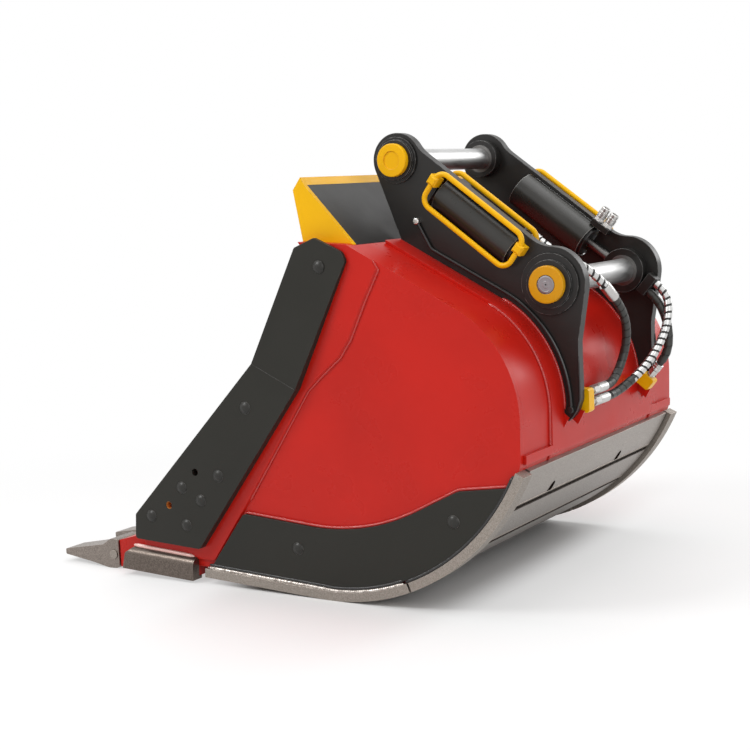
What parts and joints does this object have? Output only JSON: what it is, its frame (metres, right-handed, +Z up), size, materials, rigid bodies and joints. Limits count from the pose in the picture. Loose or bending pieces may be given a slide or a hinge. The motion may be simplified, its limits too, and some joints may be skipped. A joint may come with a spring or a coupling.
{
  "type": "excavator bucket",
  "caption": "Wide heavy plate bucket with bolted side cutters, pinned teeth, hanger ears, pins and hydraulic lock cylinders with hoses.",
  "frame": {"origin": "on the ground below the middle of the bucket", "axes": "+X from the teeth to the heel, +Y to the right side, +Z up"},
  "size_m": [1.6267, 1.0762, 1.19],
  "materials": {
    "red_paint": "gloss paint on welded plate",
    "dark_paint": "satin dark grey paint",
    "black_paint": "satin black paint",
    "yellow_paint": "satin yellow paint",
    "wear_steel": "bare rolled wear plate",
    "cast_steel": "cast and heat treated",
    "bolt_steel": "plain bolts",
    "chrome": "hard chrome",
    "plated": "zinc plated fittings",
    "hose_rubber": "black hose cover",
    "black_line": "black hard line"
  },
  "bodies": {
    "root": {"wrapper": "red_paint", "cutting_edge": "red_paint", "side_plate_left": "red_paint", "side_plate_right": "red_paint", "side_rim_left": "red_paint", "side_rim_right": "red_paint", "saddle_plate": "red_paint", "heel_bands": "red_paint", "tooth_adapters": "red_paint", "ear_gussets": "red_paint", "side_cutter_left": "dark_paint", "side_cutter_right": "dark_paint", "heel_shroud_left": "dark_paint", "heel_shroud_right": "dark_paint", "deflector_panel": "dark_paint", "side_cutter_bolts": "bolt_steel", "heel_shroud_bolts": "bolt_steel", "edge_strips_front": "wear_steel", "edge_strips_rear": "wear_steel", "wear_plates": "wear_steel", "wear_seams": "wear_steel", "wing_shroud_left": "wear_steel", "wing_shroud_right": "wear_steel", "tooth_1": "cast_steel", "tooth_2": "cast_steel", "tooth_3": "cast_steel", "tooth_4": "cast_steel", "tooth_5": "cast_steel", "tooth_pins": "cast_steel", "deflector_sides": "yellow_paint", "deflector_lip": "yellow_paint", "guard_loops": "yellow_paint", "guard_clamps": "yellow_paint", "hydraulic_blocks": "yellow_paint", "ear_left": "black_paint", "ear_right": "black_paint", "front_bosses": "black_paint", "rear_bosses": "black_paint", "lock_cylinder_barrel_left": "black_paint", "lock_cylinder_barrel_right": "black_paint", "lock_cylinder_glands": "black_paint", "port_blocks": "black_paint", "front_bushes": "bolt_steel", "rear_bushes": "bolt_steel", "quick_couplers": "plated", "hose_fittings": "plated", "hose_a": "hose_rubber", "hose_b": "hose_rubber", "hose_c": "hose_rubber", "hard_lines": "black_line", "line_fittings": "black_line"},
    "front_pin_body": {"front_pin": "chrome", "front_cap_left": "yellow_paint", "front_cap_right": "yellow_paint"},
    "rear_pin_body": {"rear_pin": "chrome", "rear_ring_left": "yellow_paint", "rear_ring_right": "yellow_paint"},
    "lock_rod_left_body": {"lock_rod_left": "chrome"},
    "lock_rod_right_body": {"lock_rod_right": "chrome"}
  },
  "joints": [
    {"name": "front_pin_turn", "type": "hinge", "parent": "root", "child": "front_pin_body", "pos_m": [0.267, 0, 1.12], "axis": [0, 1, 0], "continuous": true},
    {"name": "rear_pin_turn", "type": "hinge", "parent": "root", "child": "rear_pin_body", "pos_m": [0.69427, 0, 0.79803], "axis": [0, 1, 0], "continuous": true},
    {"name": "lock_rod_left_slide", "type": "slide", "parent": "root", "child": "lock_rod_left_body", "axis": [0.7986, 0, -0.6018], "range_m": [-0.045, 0]},
    {"name": "lock_rod_right_slide", "type": "slide", "parent": "root", "child": "lock_rod_right_body", "axis": [0.7986, 0, -0.6018], "range_m": [-0.045, 0]}
  ],
  "couplings": [
    {"joint": "lock_rod_right_slide", "follows": "lock_rod_left_slide", "ratio": 1}
  ]
}
